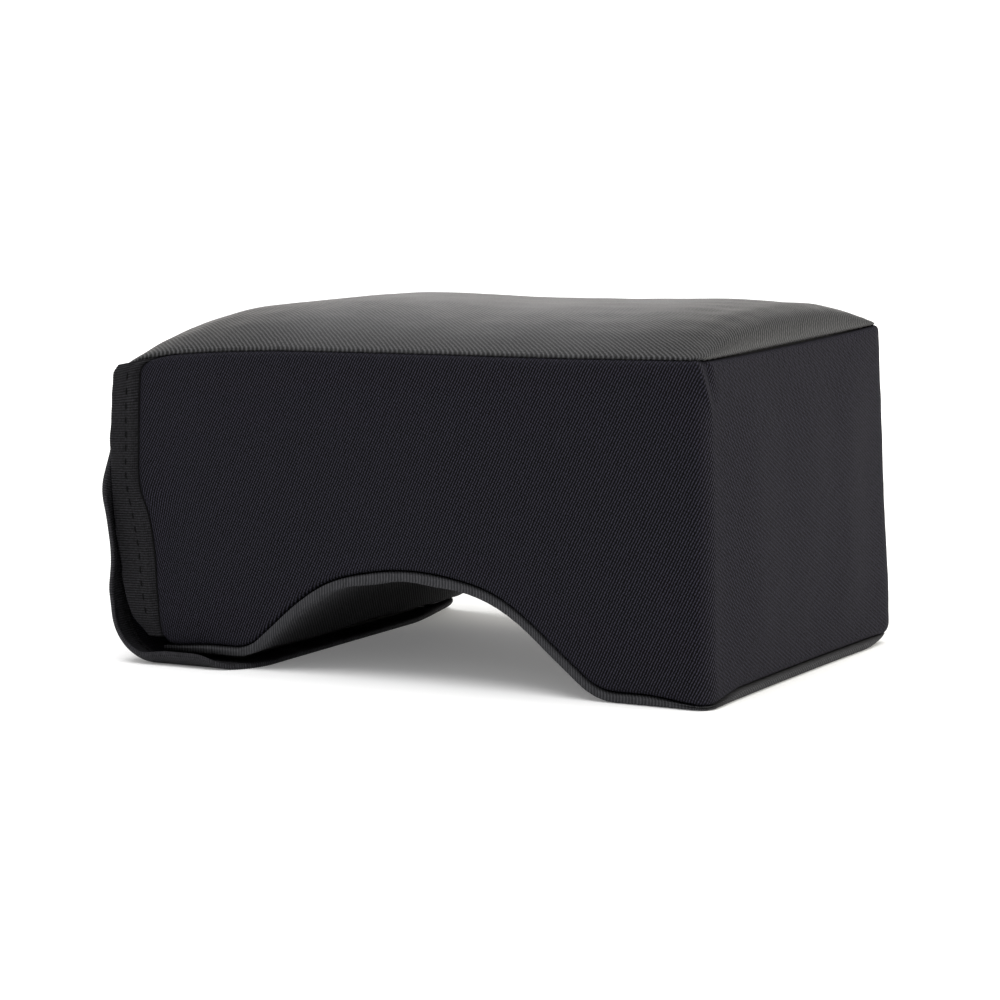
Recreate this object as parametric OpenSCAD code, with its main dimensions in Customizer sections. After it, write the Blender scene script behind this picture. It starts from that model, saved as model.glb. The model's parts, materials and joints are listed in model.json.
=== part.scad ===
// Block cushion with an arched underside in a removable cover, closed by an end flap.
// X runs along the block, Y from front to back, Z up. The origin is the middle of the
// footprint, on the surface that the cushion stands on. All sizes are in millimetres.

/* [Block] */
// Length of the covered block, without the end flap
block_l = 276; // [240:1:320]
// Depth of the covered block, front to back
block_d = 166; // [140:1:200]
// Height of the top seam above the surface it stands on
seam_h = 132; // [110:1:150]
// Rise of the crowned top above its seam
crown_rise = 17; // [8:1:22]

/* [Arch] */
// Height of the arch under the block
arch_h = 41.5; // [30:0.5:50]
// Half the width of the arch where its sloping walls meet the surface
arch_half_w = 84; // [75:1:90]
// Slope of the arch walls
arch_slope = 39; // [34:1:44]
// How far the arch lies to the right of the block's middle
arch_shift = 5; // [0:1:8]
// Rounding at the foot of each arch wall
foot_r = 25; // [12:1:30]

/* [Corners] */
// Rounding of the top left edge, where the flap hangs from the top panel
top_left_r = 32; // [20:1:40]
// Rounding of the top right edge
top_right_r = 15; // [8:1:20]
// Rounding of the bottom left edge, which the flap turns round
bottom_left_r = 18; // [12:1:22]
// Rounding of the bottom right edge
bottom_right_r = 6; // [5:1:10]

/* [Cloth] */
// Thickness of the cover cloth
cover_t = 1.2; // [1:0.1:2]
// Thickness of the inner liner
liner_t = 0.8; // [0.6:0.1:1.2]
// How far the bottom panel wraps up the sides before its seam
wrap_h = 4; // [3:0.5:5]
// Thickness of the flap's cloth
flap_t = 1.4; // [1:0.1:2]

/* [Binding] */
// Width of the binding tape once folded over an edge
tape_w = 13; // [10:0.5:15]
// Thickness of one layer of the tape
tape_t = 0.5; // [0.4:0.1:0.8]
// Length of one stitch
stitch_l = 3.6; // [2:0.2:5]
// Distance from one stitch to the next
stitch_pitch = 5.7; // [5.4:0.1:8]

/* [Flap] */
// How far the flap stands out past the block at the front and at the back
flap_margin = 7.5; // [4:0.5:10]
// Height of the flap's hinge line above the surface
hinge_h = 120; // [100:1:122]
// Height at which the flap has flared out to its full width
flare_h = 78; // [60:1:90]
// Outer radius of the flap's turn round the bottom corner
turn_r = 22; // [20:1:26]
// How far the tongue reaches in from the left end of the flap
tongue_reach = 70; // [66:1:74]
// Rounding of the tongue's free corners
tongue_r = 22; // [14:1:30]

/* [Fastening] */
// Width of the hook strip and of the loop strip
strip_w = 20; // [16:1:20]
// Length of the hook strip and of the loop strip, front to back
strip_l = 140; // [80:5:150]
// Thickness of the hook strip
hook_t = 1.5; // [1:0.1:2]
// Thickness of the loop strip
loop_t = 1.3; // [1:0.1:2]

/* [Hidden] */

$fn = 64;
slack = 0.3;          // clearance between bodies that move past each other
past = 30;            // how far a cutting block runs past what it cuts
arc_step = 6;         // degrees between the points of an arc in an outline

// The flap's stack: air, tape, cloth, tape
flap_gap = 0.4;
bound_t = flap_t + 2 * tape_t;
x_out = -(block_l + flap_gap + bound_t) / 2;
x_left = x_out + bound_t + flap_gap;
x_right = x_left + block_l;
y_face = block_d / 2;
y_flap = y_face + flap_margin;
top_h = seam_h + crown_rise;

// The left leg stands on the tongue and its fastening strips
hook_z = tape_t + flap_t;
loop_z = hook_z + hook_t + slack;
leg_h = loop_z + loop_t;

// The arch: a crown arc between two sloping walls
arch_x = (x_left + x_right) / 2 + arch_shift;
wall_top_h = arch_half_w * tan(arch_slope);
arch_r = (wall_top_h - arch_h) * cos(arch_slope) / (1 - cos(arch_slope));
arch_z = arch_h - arch_r;

// Distance from the arch's middle to the centre of a foot's rounding, for a leg that ends at h
function foot_dx(h) =
    arch_half_w - (cos(arch_slope) * (h + foot_r) - foot_r) / sin(arch_slope);

// The crown of the top, seen from the end
dome_r = (y_face * y_face + crown_rise * crown_rise) / (2 * crown_rise);
dome_z = top_h - dome_r;

// Where the parts of the mouth and of the tongue lie along X
turn_x = x_out + turn_r;
sill_x = x_left + bottom_left_r + 4;
sill_fold = 2;
tape_face = 0.4;
tongue_x = x_out + tongue_reach;
strip_x = tongue_x - tape_w - strip_w - 2 * slack;
sill_end = min(sill_x - sill_fold + tape_w, strip_x - slack);
binding_low = leg_h + 9;
binding_top = seam_h;
stitch_inset = 5;
thread_w = 0.9;
thread_t = 0.4;

function arc(c, r, a0, a1) =
    let (n = max(2, ceil(abs(a1 - a0) / arc_step)))
    [for (i = [0:n]) let (a = a0 + (a1 - a0) * i / n) c + r * [cos(a), sin(a)]];

// The underside seen from the front, from the left corner to the right one, moved in by i
function underside(i) = concat(
    arc([x_left + bottom_left_r, leg_h + bottom_left_r], bottom_left_r - i, 180, 270),
    arc([arch_x - foot_dx(leg_h), leg_h + foot_r], foot_r - i, -90, arch_slope - 90),
    arc([arch_x, arch_z], arch_r + i, 90 + arch_slope, 90 - arch_slope),
    arc([arch_x + foot_dx(0), foot_r], foot_r - i, -90 - arch_slope, -90),
    arc([x_right - bottom_right_r, bottom_right_r], bottom_right_r - i, -90, 0)
);

// The whole outline of the block seen from the front, moved in by i
function front_outline(i) = concat(
    underside(i),
    arc([x_right - top_right_r, top_h - top_right_r], top_right_r - i, 0, 90),
    arc([x_left + top_left_r, top_h - top_left_r], top_left_r - i, 90, 180)
);

// The outline of the block seen from the right end, moved in by i
function end_outline(i) =
    let (a = asin((y_face - i) / (dome_r - i)))
    concat([[y_face - i, -past], [-y_face + i, -past]],
           arc([0, dome_z], dome_r - i, 90 + a, 90 - a));

// Draws a front outline through the depth from y0 to y1
module along_y(y0, y1) {
    translate([0, y1, 0]) rotate([90, 0, 0]) linear_extrude(y1 - y0) children();
}

// Draws an end outline along the length from x0 to x1
module along_x(x0, x1) {
    translate([x0, 0, 0]) rotate([90, 0, 90]) linear_extrude(x1 - x0) children();
}

// A box between two opposite corners
module block_between(low, high) {
    translate(low) cube(high - low);
}

// The solid block, with every face moved in by i
module block(i) {
    intersection() {
        along_y(-y_face + i, y_face - i) polygon(front_outline(i));
        along_x(x_left - past, x_right + past) polygon(end_outline(i));
    }
}

// The cover's cloth as one shell, before it is cut into panels
module cover_shell() {
    difference() {
        block(0);
        block(cover_t);
    }
}

// Everything in the bottom panel's zone, up to its seam
module bottom_zone() {
    outer = underside(0);
    inner = underside(wrap_h);
    ring = concat(outer, [for (k = [len(inner) - 1:-1:0]) inner[k]]);
    along_y(-y_face - past, y_face + past) polygon(ring);
}

module foam_block() {
    color([0.85, 0.83, 0.78]) block(cover_t + liner_t);
}

module foam_liner() {
    color([0.1, 0.1, 0.11]) difference() {
        block(cover_t);
        block(cover_t + liner_t);
    }
}

module top_panel() {
    color([0.36, 0.36, 0.37]) intersection() {
        cover_shell();
        union() {
            block_between([x_left - past, -y_face - past, seam_h],
                          [x_right + past, y_face + past, top_h + past]);
            // the skirt that comes down round the left edge to the flap
            block_between([x_left - past, -y_face + cover_t, hinge_h],
                          [x_left + tape_w, y_face - cover_t, seam_h + 1]);
        }
    }
}

module side_band() {
    color([0.14, 0.14, 0.16]) difference() {
        intersection() {
            cover_shell();
            block_between([x_left + tape_w, -y_face - past, -past],
                          [x_right + past, y_face + past, seam_h]);
        }
        bottom_zone();
    }
}

module arch_panel() {
    color([0.2, 0.2, 0.22]) intersection() {
        cover_shell();
        bottom_zone();
        block_between([sill_x, -y_face - past, -past],
                      [x_right + past, y_face + past, seam_h]);
    }
}

// The tape on an upright edge of the mouth; side is -1 for the front and 1 for the back
module mouth_binding(side) {
    inside = y_face - cover_t;
    outside = y_face + tape_face;
    color([0.17, 0.17, 0.17])
    along_y(side < 0 ? -outside : inside, side < 0 ? -inside : outside)
    intersection() {
        polygon(front_outline(0));
        translate([x_left, binding_low]) square([tape_w, binding_top - binding_low]);
    }
}

// The row of stitches down the middle of that tape
module mouth_stitches(side) {
    y_low = y_face + tape_face;
    first = binding_low + stitch_inset;
    last = hinge_h - stitch_l;
    color([0.08, 0.08, 0.08])
    for (z = [first:stitch_pitch:last])
        block_between(
            [x_left + tape_w - stitch_inset, side < 0 ? -y_low - thread_t : y_low, z],
            [x_left + tape_w - stitch_inset + thread_w, side < 0 ? -y_low : y_low + thread_t,
             z + stitch_l]);
}

// The tape folded over the bottom edge of the mouth
module sill_binding() {
    y_end = y_face - cover_t;
    color([0.17, 0.17, 0.17]) union() {
        block_between([sill_x - sill_fold, -y_end, leg_h - 2 * tape_t],
                      [sill_end, y_end, leg_h]);
        block_between([sill_x - sill_fold, -y_end, leg_h - tape_t],
                      [sill_x, y_end, leg_h + cover_t]);
    }
}

module loop_strip() {
    color([0.12, 0.12, 0.12])
    block_between([strip_x, -strip_l / 2, leg_h - loop_t], [strip_x + strip_w, strip_l / 2, leg_h]);
}

// The flap seen from the front: down the end and a quarter turn round the corner.
// i0 and i1 are the distances of its two faces from the outermost face.
module flap_section(i0, i1) {
    outer = arc([turn_x, turn_r], turn_r - i0, 180, 270);
    inner = arc([turn_x, turn_r], turn_r - i1, 270, 180);
    polygon(concat([[x_out + i1, hinge_h], [x_out + i0, hinge_h]], outer, inner));
}

// The flap seen from the end, flaring out below its hinge line, moved in by i
module flap_face(i) {
    slant = i * (1 / cos(atan(flap_margin / (hinge_h - flare_h))) - 1);
    polygon([[-y_face + i + slant, hinge_h], [-y_flap + i, flare_h], [-y_flap + i, -past],
             [y_flap - i, -past], [y_flap - i, flare_h], [y_face - i - slant, hinge_h]]);
}

// The part of the flap between two depths of its thickness, with its side edges moved in by i
module flap_layer(i0, i1, i) {
    intersection() {
        along_y(-y_flap - past, y_flap + past) flap_section(i0, i1);
        along_x(x_out - past, turn_x) flap_face(i);
    }
}

module flap_panel() {
    color([0.16, 0.16, 0.17]) flap_layer(tape_t, tape_t + flap_t, tape_t);
}

// The tape folded over one side edge of the flap; side is -1 for the front and 1 for the back
module flap_tape(side) {
    y_mid = side * (y_flap + past) / 2;
    color([0.17, 0.17, 0.17]) intersection() {
        difference() {
            flap_layer(0, bound_t, 0);
            flap_layer(-1, bound_t + 1, tape_w);
            flap_panel();
        }
        translate([0, y_mid, top_h / 2])
            cube([2 * block_l, y_flap + past, 2 * top_h], center = true);
    }
}

// The tongue seen from above, moved in by i on its three free sides
module tongue_plan(i) {
    x_start = turn_x + slack;
    r = tongue_r - i;
    union() {
        translate([x_start, -y_flap + i]) square([tongue_x - tongue_r - x_start, 2 * (y_flap - i)]);
        translate([x_start, -y_flap + tongue_r])
            square([tongue_x - i - x_start, 2 * (y_flap - tongue_r)]);
        for (side = [-1, 1])
            translate([tongue_x - tongue_r, side * (y_flap - tongue_r)]) circle(r);
    }
}

module tongue_panel() {
    color([0.16, 0.16, 0.17])
    translate([0, 0, tape_t]) linear_extrude(flap_t) tongue_plan(tape_t);
}

// The tape folded over the tongue's three free sides
module tongue_binding() {
    color([0.17, 0.17, 0.17]) difference() {
        linear_extrude(bound_t) tongue_plan(0);
        translate([0, 0, -1]) linear_extrude(bound_t + 2) tongue_plan(tape_w);
        tongue_panel();
    }
}

module hook_strip() {
    color([0.1, 0.1, 0.1])
    block_between([strip_x, -strip_l / 2, hook_z],
                  [strip_x + strip_w, strip_l / 2, hook_z + hook_t]);
}

foam_block();
foam_liner();
top_panel();
side_band();
arch_panel();
mouth_binding(-1);  // front_binding
mouth_binding(1);  // back_binding
mouth_stitches(-1);  // front_stitches
mouth_stitches(1);  // back_stitches
sill_binding();
loop_strip();
flap_panel();
flap_tape(-1);  // flap_front_tape
flap_tape(1);  // flap_back_tape
tongue_panel();
tongue_binding();
hook_strip();
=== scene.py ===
import json
import math

import bmesh
import bpy
import numpy as np
from mathutils import Matrix, Vector


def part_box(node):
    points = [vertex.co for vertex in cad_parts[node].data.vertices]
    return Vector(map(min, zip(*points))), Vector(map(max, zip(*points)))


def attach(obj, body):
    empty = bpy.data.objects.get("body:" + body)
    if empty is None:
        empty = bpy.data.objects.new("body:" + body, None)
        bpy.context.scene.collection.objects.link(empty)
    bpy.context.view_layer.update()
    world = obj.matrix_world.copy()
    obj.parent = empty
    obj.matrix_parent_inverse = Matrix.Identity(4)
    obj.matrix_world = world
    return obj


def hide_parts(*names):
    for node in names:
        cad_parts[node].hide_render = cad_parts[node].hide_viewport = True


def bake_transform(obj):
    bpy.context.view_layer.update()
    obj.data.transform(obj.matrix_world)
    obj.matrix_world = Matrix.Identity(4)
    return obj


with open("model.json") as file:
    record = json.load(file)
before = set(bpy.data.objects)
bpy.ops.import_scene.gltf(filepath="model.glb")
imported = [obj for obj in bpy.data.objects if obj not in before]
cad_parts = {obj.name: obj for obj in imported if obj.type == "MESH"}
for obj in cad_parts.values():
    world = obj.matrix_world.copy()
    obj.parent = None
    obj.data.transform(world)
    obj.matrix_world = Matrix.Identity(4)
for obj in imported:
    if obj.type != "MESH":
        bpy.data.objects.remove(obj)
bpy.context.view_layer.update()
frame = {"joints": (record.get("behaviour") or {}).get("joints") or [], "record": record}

MM = 0.001

# -------- sizes from the frame

top_lo, top_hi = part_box("top_panel")
band_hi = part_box("side_band")[1]
under_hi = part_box("arch_panel")[1]
mouth_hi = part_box("front_binding")[1]
sill_lo, sill_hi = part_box("sill_binding")
flap_tape_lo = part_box("flap_front_tape")[0]
tongue_lo, tongue_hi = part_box("tongue_binding")

X_LEFT, X_RIGHT = top_lo.x, top_hi.x
LENGTH = X_RIGHT - X_LEFT
Y_FACE = band_hi.y
SEAM_H = band_hi.z
TOP_H = top_hi.z
MOUTH_X = mouth_hi.x  # inner edge of the mouth's tape
LEG_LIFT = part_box("loop_strip")[1].z  # the left leg stands on the tongue
joint_at = {j["name"]: Vector(j["pos_m"]) for j in frame["joints"]}
HINGE, FOLD = joint_at["flap_hinge"], joint_at["tongue_fold"]
FLAP_Y = tongue_hi.y  # half the width of the flap with its tape
FLAP_OUT = flap_tape_lo.x  # outermost face of the flap
BOUND_T = tongue_hi.z - tongue_lo.z  # thickness of cloth and folded tape together

# The arch: a crown arc between two sloping walls, with rounded feet
passage = {o["name"]: o["box_m"] for o in frame["record"]["physics"]["openings"]}
low, high = passage["arch_passage_high"]
ARCH_X = (low[0] + high[0]) / 2
WRAP = 4 * MM  # the bottom panel's rise up the sides to its seam
ARCH_H = under_hi.z - WRAP
ARCH_HALF_W = 84 * MM
ARCH_SLOPE = math.radians(39)
FOOT_R = 25 * MM
wall_top = ARCH_HALF_W * math.tan(ARCH_SLOPE)
ARCH_R = (wall_top - ARCH_H) * math.cos(ARCH_SLOPE) / (1 - math.cos(ARCH_SLOPE))
ARCH_Z = ARCH_H - ARCH_R

CORNER_R = 7 * MM  # rounding of the upright edges in plan, tighter at the back
CLOTH_T = 1.1 * MM
GROOVE = 2.3 * MM  # how far a seam is drawn in
TAPE_W = MOUTH_X - X_LEFT
RIB_PITCH = 1.05 * MM  # one rib of the grosgrain tape
SEAM_PITCH = 4.6 * MM  # one stitch of the cover's seams
MOUTH_PITCH = 5.7 * MM  # one stitch of the mouth's tape
MOUTH_STITCHES = 18  # stitches in each row on the mouth's tape
FIRST_STITCH = 20.2 * MM  # height of the lowest of them

# -------- numbers and curves


def smooth(t):
    """0 below 0, 1 above 1, smooth between them."""
    t = np.clip(t, 0.0, 1.0)
    return t * t * (3 - 2 * t)


def step(x, a, b):
    """0 at a, 1 at b, smooth between them."""
    return smooth((x - a) / (b - a))


def hump(x, middle, width):
    """A bell of height 1 round the middle."""
    return np.exp(-((x - middle) / width) ** 2)


def fade(d, reach):
    """1 at no distance, and dying away over the reach."""
    return np.exp(-d / reach)


def spaced(stops, steps):
    """Values along stops, with about steps[i] between neighbours in stretch i."""
    out = []
    for a, b, d in zip(stops[:-1], stops[1:], steps):
        n = max(1, int(round(abs(b - a) / d)))
        out.extend(a + (b - a) * k / n for k in range(n))
    out.append(stops[-1])
    return np.array(out)


def through(knots, t):
    """A smooth curve through the rows of knots at t from 0 to 1, with tangents from their neighbours."""
    knots = np.asarray(knots, float)
    chord = np.linalg.norm(np.diff(knots, axis=0), axis=1)
    at = np.concatenate([[0], np.cumsum(chord)]) / chord.sum()
    tangent = np.gradient(knots, at, axis=0)
    i = np.clip(np.searchsorted(at, t, side="right") - 1, 0, len(at) - 2)
    h = (at[i + 1] - at[i])[:, None]
    u = ((t - at[i]) / (at[i + 1] - at[i]))[:, None]
    return ((2 * u ** 3 - 3 * u ** 2 + 1) * knots[i] + (u ** 3 - 2 * u ** 2 + u) * h * tangent[i]
            + (-2 * u ** 3 + 3 * u ** 2) * knots[i + 1] + (u ** 3 - u ** 2) * h * tangent[i + 1])


def ripple(u, v, size, seed):
    """Smooth, repeatable unevenness between about -1 and 1; size is its rough wavelength."""
    rng = np.random.RandomState(seed)
    total = np.zeros(np.broadcast(u, v).shape)
    for k in range(7):
        angle, phase = rng.uniform(0, math.tau, 2)
        wave = size * rng.uniform(0.6, 1.7)
        total = total + np.sin(math.tau * (u * math.cos(angle) + v * math.sin(angle)) / wave + phase)
    return total / 4.2


def pucker(along, seed):
    """The little gathers that a row of stitches makes in cloth, at the stitch pitch."""
    drift = 0.35 * ripple(along, 0 * along, 60 * MM, seed)
    depth = 0.65 + 0.35 * ripple(along, 0 * along, 34 * MM, seed + 1)
    return np.sin(math.tau * (along / SEAM_PITCH + drift)) * depth


# -------- the cushion's form


def foot_u(h):
    """Distance from the arch's middle to the centre of the rounding of a leg that ends at h."""
    return ARCH_HALF_W - (math.cos(ARCH_SLOPE) * (h + FOOT_R) - FOOT_R) / math.sin(ARCH_SLOPE)


def underside(x, i=0.0):
    """Height of the underside at x, moved into the block by i."""
    x = np.asarray(x, float)
    u = np.abs(x - ARCH_X)
    h = np.where(x < ARCH_X, LEG_LIFT, 0.0)
    centre = np.where(x < ARCH_X, foot_u(LEG_LIFT), foot_u(0.0))
    r = FOOT_R - i
    crown = ARCH_Z + np.sqrt(np.maximum((ARCH_R + i) ** 2 - u ** 2, 0))
    wall = math.tan(ARCH_SLOPE) * (ARCH_HALF_W - u) + i / math.cos(ARCH_SLOPE)
    foot = h + FOOT_R - np.sqrt(np.maximum(r * r - (u - centre) ** 2, 0))
    z = np.where(u < (ARCH_R + i) * math.sin(ARCH_SLOPE), crown, wall)
    z = np.where(u > centre - r * math.sin(ARCH_SLOPE), foot, z)
    z = np.where(u > centre, h + i, z)
    # the crown of the real arch is a little flatter and its shoulders fuller than an arc
    return z + 1.3 * MM * hump(u, 40 * MM, 15 * MM)


def plan(x, y):
    """Rounds the two upright right-hand edges of the block in plan, and leaves the rest."""
    r = CORNER_R
    p = np.clip((x - (X_RIGHT - r)) / r, 0, None)
    q = np.clip((np.abs(y) - (Y_FACE - r)) / r, 0, None)
    soft = np.where(y > 0, 0.45, 1.0)
    p1 = p * (1 - soft * (1 - np.sqrt(np.maximum(1 - q * q / 2, 0))))
    q1 = q * (1 - soft * (1 - np.sqrt(np.maximum(1 - p * p / 2, 0))))
    return x + (p1 - p) * r, y + np.sign(y) * (q1 - q) * r


def inward(x, y):
    """The direction in plan from a point near the edge towards the middle of the block."""
    p = np.clip((x - (X_RIGHT - CORNER_R)) / CORNER_R, 0, 1) ** 3
    q = np.clip((np.abs(y) - (Y_FACE - CORNER_R)) / CORNER_R, 0, 1) ** 3
    length = np.maximum(np.hypot(p, q), 1e-9)
    return -p / length, -np.sign(y) * q / length


def settle(points):
    """The uneven lean of the stuffed block: its back right corner stands higher and leans."""
    x, y, z = points[..., 0], points[..., 1], points[..., 2]
    right = smooth((x - X_LEFT) / LENGTH)
    back = np.clip((y + Y_FACE) / (2 * Y_FACE), 0, 1)
    up = np.clip(z / SEAM_H, 0, 1.2)
    # the bottom corner there is rounded off, within reach of the corner's upright edge
    reach, r = 26 * MM, 9 * MM
    near = np.clip((x - X_RIGHT + reach) / reach, 0, 1) * np.clip((y - Y_FACE + reach) / reach, 0, 1)
    tuck = near ** 2 * (r - np.sqrt(r * r - np.clip(r - z, 0, r) ** 2))
    out = points.copy()
    out[..., 0] = x + right * (back * (1.9 - 4.3 * up) + 2.9 * back ** 3) * MM - tuck
    out[..., 1] = y - 0.8 * tuck
    out[..., 2] = z + right * back * up * 3.6 * MM
    return out


RAILS_L = 276 * MM  # length of the block that TOP_RAILS is drawn for

# Along the block: distance from the left end and height above the seam of the top panel's
# edge, then the same of its middle line, in millimetres
TOP_RAILS = [
    (2.6, -12, 0, -12),
    (3.4, -9.2, 1.2, -5.5),
    (6, -7.4, 6, 1.0),
    (12, -5.2, 14, 8.0),
    (24, -2.7, 26, 12.0),
    (45, -1, 45, 14.8),
    (75, 0.2, 75, 17.2),
    (115, 0.3, 115, 16.2),
    (160, 0, 160, 14.3),
    (215, -0.6, 215, 13.2),
    (250, -0.6, 250, 12.3),
    (265, -0.6, 264, 10.8),
    (272, -0.6, 272, 7.0),
    (276, -0.6, 276, -1.0),
]


def top_surface(s, v):
    """The top panel at s from the hinge line to the right seam and v from -1 at the front to 1."""
    rails = through(np.array(TOP_RAILS) * MM, s)
    rails = rails * np.array([LENGTH / RAILS_L, 1, LENGTH / RAILS_L, 1])
    rise = (1 - np.abs(v) ** np.where(v > 0, 3.3, 2.7))[None, :]
    x = X_LEFT + rails[:, 0:1] + (rails[:, 2:3] - rails[:, 0:1]) * rise
    z = SEAM_H + rails[:, 1:2] + (rails[:, 3:4] - rails[:, 1:2]) * rise
    y = np.broadcast_to(v[None, :] * Y_FACE, x.shape)
    return np.stack([x, y, z], -1)


def top_edge_height(x):
    """Height of the top seam at x, along the front and the back."""
    s = np.linspace(0, 1, 400)
    rails = through(np.array(TOP_RAILS) * MM, s)
    return SEAM_H + np.interp((x - X_LEFT) * RAILS_L / LENGTH, rails[:, 0], rails[:, 1])


# Height, and offset along X in millimetres: the seam between the front panel and the mouth's
# tape, from the tape's designed inner edge, then the tape's outer edge, from the block's end
MOUTH_SEAM = [(10, 7.4), (14, 6.3), (28, 4.9), (48, 4.1), (57, 2.9), (64, 1.3), (72, -1.7), (94, -1.8),
              (118, -0.2), (132, 1.4)]
TAPE_EDGE = [(10, 15), (14, 10.5), (18, 7), (30, 3), (44, 1.1), (56, -0.2), (68, -1.2), (80, -1.5),
             (92, -1.5), (102, -1.0), (110, -0.6), (118, 0.0), (123, 1.2), (126, 3.0), (128, 6.0)]


def wavy(knots, z):
    """The offset at height z of the smooth curve through such knots."""
    curve = through(np.array(knots) * MM, np.linspace(0, 1, 300))
    return np.interp(z, curve[:, 0], curve[:, 1])


def mouth_seam_x(z):
    """X of the seam between the front panel and the mouth's tape, at height z."""
    return MOUTH_X + wavy(MOUTH_SEAM, z)


def seam_corner(below):
    """How far the seam has turned along the top seam, this far below it."""
    r = 6.5 * MM
    return r - np.sqrt(r * r - np.clip(r - below, 0, r) ** 2)


# -------- meshes


def normals(grid):
    """The unit normal at each point of a grid of points."""
    du = np.gradient(grid, axis=0)
    dv = np.gradient(grid, axis=1)
    n = np.cross(du, dv)
    return n / np.maximum(np.linalg.norm(n, axis=-1, keepdims=True), 1e-12)


def quads(index):
    """The four-cornered faces of a grid of point numbers."""
    a, b = index[:-1, :-1].ravel(), index[1:, :-1].ravel()
    c, d = index[1:, 1:].ravel(), index[:-1, 1:].ravel()
    return np.stack([a, b, c, d], 1)


def closed_rings(n, k):
    """The faces of a tube of n rings of k points each, with both ends capped."""
    index = np.arange(n * k).reshape(n, k)
    faces = quads(np.concatenate([index, index[:, :1]], 1)).tolist()
    return faces + [index[0].tolist(), index[-1][::-1].tolist()]


def build(name, points, faces, cloth=None, wear_and_light=None, weld=False):
    """A piece from points and faces; cloth holds each point's place in its weave, and the last argument how
    much paler each point is, from rubbing and from painted light.
    """
    mesh = bpy.data.meshes.new(name)
    mesh.from_pydata(points.tolist(), [], faces)
    piece = bpy.data.objects.new(name, mesh)
    bpy.context.scene.collection.objects.link(piece)
    for label, kind, field, values in (("cloth", "FLOAT_VECTOR", "vector", cloth),
                                       ("wear_and_light", "FLOAT", "value", wear_and_light)):
        if values is not None:
            data = mesh.attributes.new(label, kind, "POINT").data
            data.foreach_set(field, np.ascontiguousarray(values, np.float32).ravel())
    cleaned = bmesh.new()
    cleaned.from_mesh(mesh)
    if weld:
        bmesh.ops.remove_doubles(cleaned, verts=cleaned.verts, dist=1e-6)
    bmesh.ops.recalc_face_normals(cleaned, faces=cleaned.faces)
    cleaned.to_mesh(mesh)
    cleaned.free()
    mesh.shade_smooth()
    return piece


def cloth_solid(name, outer, inner, u, v, wear_and_light=None):
    """A closed piece of cloth between two grids of points; u and v are its weave's coordinates."""
    nu, nv = outer.shape[:2]
    first = np.arange(nu * nv).reshape(nu, nv)
    second = first + nu * nv
    faces = [quads(first), quads(second)[:, ::-1]]
    for a, b in ((first[0], second[0]), (first[-1], second[-1]),
                 (first[:, 0], second[:, 0]), (first[:, -1], second[:, -1])):
        faces.append(quads(np.stack([a, b])))
    uv = np.stack([u, v, np.zeros_like(u)], -1).reshape(-1, 3)
    if wear_and_light is None:
        wear_and_light = np.zeros_like(u)
    points = np.concatenate([outer.reshape(-1, 3), inner.reshape(-1, 3)])
    return build(name, points, np.concatenate(faces).tolist(), np.concatenate([uv, uv]),
                 np.concatenate([wear_and_light.ravel()] * 2), weld=True)


def tube(path, radius, sides=8):
    """A thread or cord along path, closed at both ends; radius is one value or one per point."""
    path = np.asarray(path, float)
    n = len(path)
    radius = np.broadcast_to(radius, (n,))
    tangent = np.gradient(path, axis=0)
    tangent /= np.linalg.norm(tangent, axis=1, keepdims=True)
    upright = abs(tangent[:, 2]).mean() >= 0.7
    side = np.cross(tangent, np.array([0.0, 1.0, 0.0] if upright else [0.0, 0.0, 1.0]))
    side /= np.linalg.norm(side, axis=1, keepdims=True)
    up = np.cross(side, tangent)
    angle = np.arange(sides) * math.tau / sides
    ring = side[:, None] * np.cos(angle)[None, :, None] + up[:, None] * np.sin(angle)[None, :, None]
    points = (path[:, None] + ring * radius[:, None, None]).reshape(-1, 3)
    cloth = np.stack([np.repeat(np.arange(n), sides) * 0.4 * MM, np.tile(angle, n) * MM,
                      np.zeros(n * sides)], 1)
    return points, closed_rings(n, sides), cloth


def build_tubes(name, tubes):
    """One piece made of several closed tubes, such as a row of stitches."""
    points, faces, cloth, base = [], [], [], 0
    for p, f, c in tubes:
        points.append(p)
        faces.extend([[k + base for k in face] for face in f])
        cloth.append(c)
        base += len(p)
    return build(name, np.concatenate(points), faces, np.concatenate(cloth))


# -------- materials


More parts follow.
